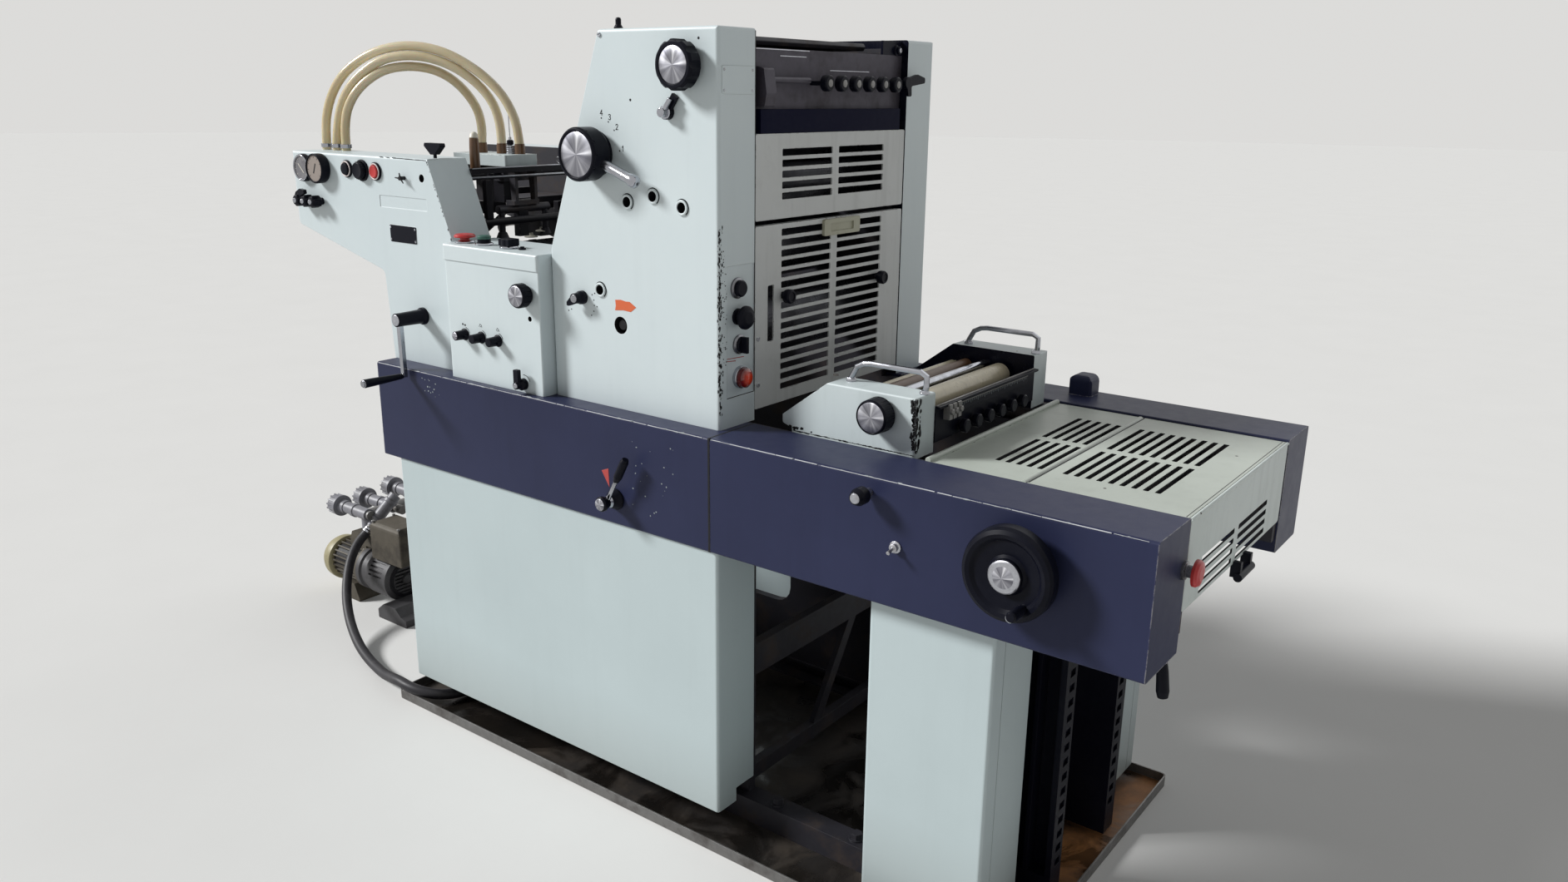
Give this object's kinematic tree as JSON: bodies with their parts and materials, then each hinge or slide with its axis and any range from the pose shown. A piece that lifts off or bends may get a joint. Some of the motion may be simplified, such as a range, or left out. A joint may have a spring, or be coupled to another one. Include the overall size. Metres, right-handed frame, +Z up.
{
  "type": "offset printing press",
  "caption": "Small sheet-fed offset printing press with covered feeder, inking tower, damping unit, slotted delivery covers, base cabinet, drip tray and vacuum pump.",
  "frame": {"origin": "on the floor, on the machine's middle plane, below the middle of the drip tray's length", "axes": "+X towards the delivery end, -Y towards the operator's side, +Z up"},
  "size_m": [2.434, 0.855, 1.471],
  "materials": {
    "mint_paint": "semi-gloss, chipped at the edges",
    "shade_paint": "semi-gloss, chipped at the edges",
    "indigo_paint": "satin, scuffed at the edges",
    "dark_iron": "oily, dark",
    "oily_steel": "oil-stained sheet",
    "steel": "ground",
    "chrome": "polished",
    "black_plastic": "moulded, satin",
    "black_paint": "satin",
    "roller_rubber": "inked",
    "damp_cloth": "worn sleeve",
    "board_wood": "raw ply",
    "amber_hose": "yellowed, glossy",
    "black_hose": "matt",
    "cast_aluminium": "cast, dusty"
  },
  "bodies": {
    "machine": {"drip_tray": "oily_steel", "foot_rails": "dark_iron", "base_frames": "dark_iron", "cabinet_operator": "mint_paint", "cabinet_far": "mint_paint", "feeder_beam_operator": "indigo_paint", "feeder_beam_far": "indigo_paint", "delivery_beam_operator": "indigo_paint", "delivery_beam_far": "indigo_paint", "delivery_leg_operator": "mint_paint", "delivery_leg_far": "mint_paint", "side_frames": "dark_iron", "tower_operator": "mint_paint", "tower_far": "mint_paint", "crossmembers": "indigo_paint", "upper_grille": "shade_paint", "printing_cylinders": "steel", "ink_rollers": "roller_rubber", "ink_fountain": "dark_iron", "ink_keys": "black_plastic", "push_buttons": "black_plastic", "control_box": "mint_paint", "feeder_cover_operator": "mint_paint", "feeder_cover_far": "mint_paint", "feeder_gauges": "black_plastic", "feeder_rails": "black_paint", "feed_board": "black_paint", "pile_board": "board_wood", "suction_head": "mint_paint", "hose_outer": "amber_hose", "hose_middle": "amber_hose", "hose_inner": "amber_hose", "damper_sides": "mint_paint", "damper_rollers": "damp_cloth", "damper_trough": "black_paint", "damper_handles": "chrome", "delivery_covers": "mint_paint", "delivery_end_plate": "mint_paint", "delivery_chain": "dark_iron", "delivery_posts": "black_paint", "vacuum_pump": "cast_aluminium", "pump_motor": "cast_aluminium", "pump_hose": "black_hose"},
    "guard_door": {"guard_door": "shade_paint"},
    "impression_dial": {"impression_dial": "black_plastic"},
    "ink_knob": {"ink_knob": "black_plastic"},
    "ink_lever": {"ink_lever": "black_plastic"},
    "register_knob": {"register_knob": "black_plastic"},
    "speed_dial": {"speed_dial": "black_plastic"},
    "control_lever_1": {"control_lever_1": "black_plastic"},
    "control_lever_2": {"control_lever_2": "black_plastic"},
    "control_lever_3": {"control_lever_3": "black_plastic"},
    "side_lay_knob": {"side_lay_knob": "black_plastic"},
    "feeder_crank": {"feeder_crank": "black_plastic"},
    "damper_dial": {"damper_dial": "black_plastic"},
    "delivery_handwheel": {"delivery_handwheel": "black_plastic"},
    "beam_knob": {"beam_knob": "black_plastic"},
    "throttle_lever": {"throttle_lever": "black_plastic"},
    "delivery_lever": {"delivery_lever": "chrome"}
  },
  "joints": [
    {"name": "guard_hinge", "type": "hinge", "parent": "machine", "child": "guard_door", "pos_m": [0.137, 0.009, 0.813], "axis": [0, 1, 0], "range_deg": [0, 50]},
    {"name": "impression_turn", "type": "hinge", "parent": "machine", "child": "impression_dial", "pos_m": [-0.134, -0.351, 1.243], "axis": [0, -1, 0], "range_deg": [0, 96]},
    {"name": "ink_knob_turn", "type": "hinge", "parent": "machine", "child": "ink_knob", "pos_m": [0.08, -0.344, 1.39], "axis": [0, -1, 0], "continuous": true},
    {"name": "ink_lever_turn", "type": "hinge", "parent": "machine", "child": "ink_lever", "pos_m": [0.0395, -0.334, 1.316], "axis": [0, -1, 0], "range_deg": [-30, 30]},
    {"name": "register_turn", "type": "hinge", "parent": "machine", "child": "register_knob", "pos_m": [-0.1805, -0.337, 0.9845], "axis": [0, -1, 0], "range_deg": [-60, 60]},
    {"name": "speed_turn", "type": "hinge", "parent": "machine", "child": "speed_dial", "pos_m": [-0.302, -0.369, 0.9795], "axis": [0, -1, 0], "range_deg": [0, 270]},
    {"name": "lever_1_turn", "type": "hinge", "parent": "machine", "child": "control_lever_1", "pos_m": [-0.49, -0.366, 0.88], "axis": [0, -1, 0], "range_deg": [-40, 40]},
    {"name": "lever_2_turn", "type": "hinge", "parent": "machine", "child": "control_lever_2", "pos_m": [-0.4395, -0.366, 0.88], "axis": [0, -1, 0], "range_deg": [-40, 40]},
    {"name": "lever_3_turn", "type": "hinge", "parent": "machine", "child": "control_lever_3", "pos_m": [-0.39, -0.366, 0.88], "axis": [0, -1, 0], "range_deg": [-40, 40]},
    {"name": "side_lay_turn", "type": "hinge", "parent": "machine", "child": "side_lay_knob", "pos_m": [-0.32, -0.368, 0.8045], "axis": [0, -1, 0], "range_deg": [-60, 60]},
    {"name": "crank_turn", "type": "hinge", "parent": "machine", "child": "feeder_crank", "pos_m": [-0.667, -0.361, 0.8915], "axis": [0, -1, 0], "continuous": true},
    {"name": "damper_turn", "type": "hinge", "parent": "machine", "child": "damper_dial", "pos_m": [0.421, -0.26, 0.848], "axis": [0, -1, 0], "range_deg": [0, 300]},
    {"name": "handwheel_turn", "type": "hinge", "parent": "machine", "child": "delivery_handwheel", "pos_m": [0.742, -0.396, 0.703], "axis": [0, -1, 0], "continuous": true},
    {"name": "beam_knob_turn", "type": "hinge", "parent": "machine", "child": "beam_knob", "pos_m": [0.485, -0.391, 0.761], "axis": [0, -1, 0], "continuous": true},
    {"name": "throttle_turn", "type": "hinge", "parent": "machine", "child": "throttle_lever", "pos_m": [-0.064, -0.391, 0.63], "axis": [0, -1, 0], "range_deg": [-15, 45]},
    {"name": "delivery_lever_turn", "type": "hinge", "parent": "machine", "child": "delivery_lever", "pos_m": [0.896, -0.206, 0.64], "axis": [0, -1, 0], "range_deg": [-30, 30]}
  ]
}
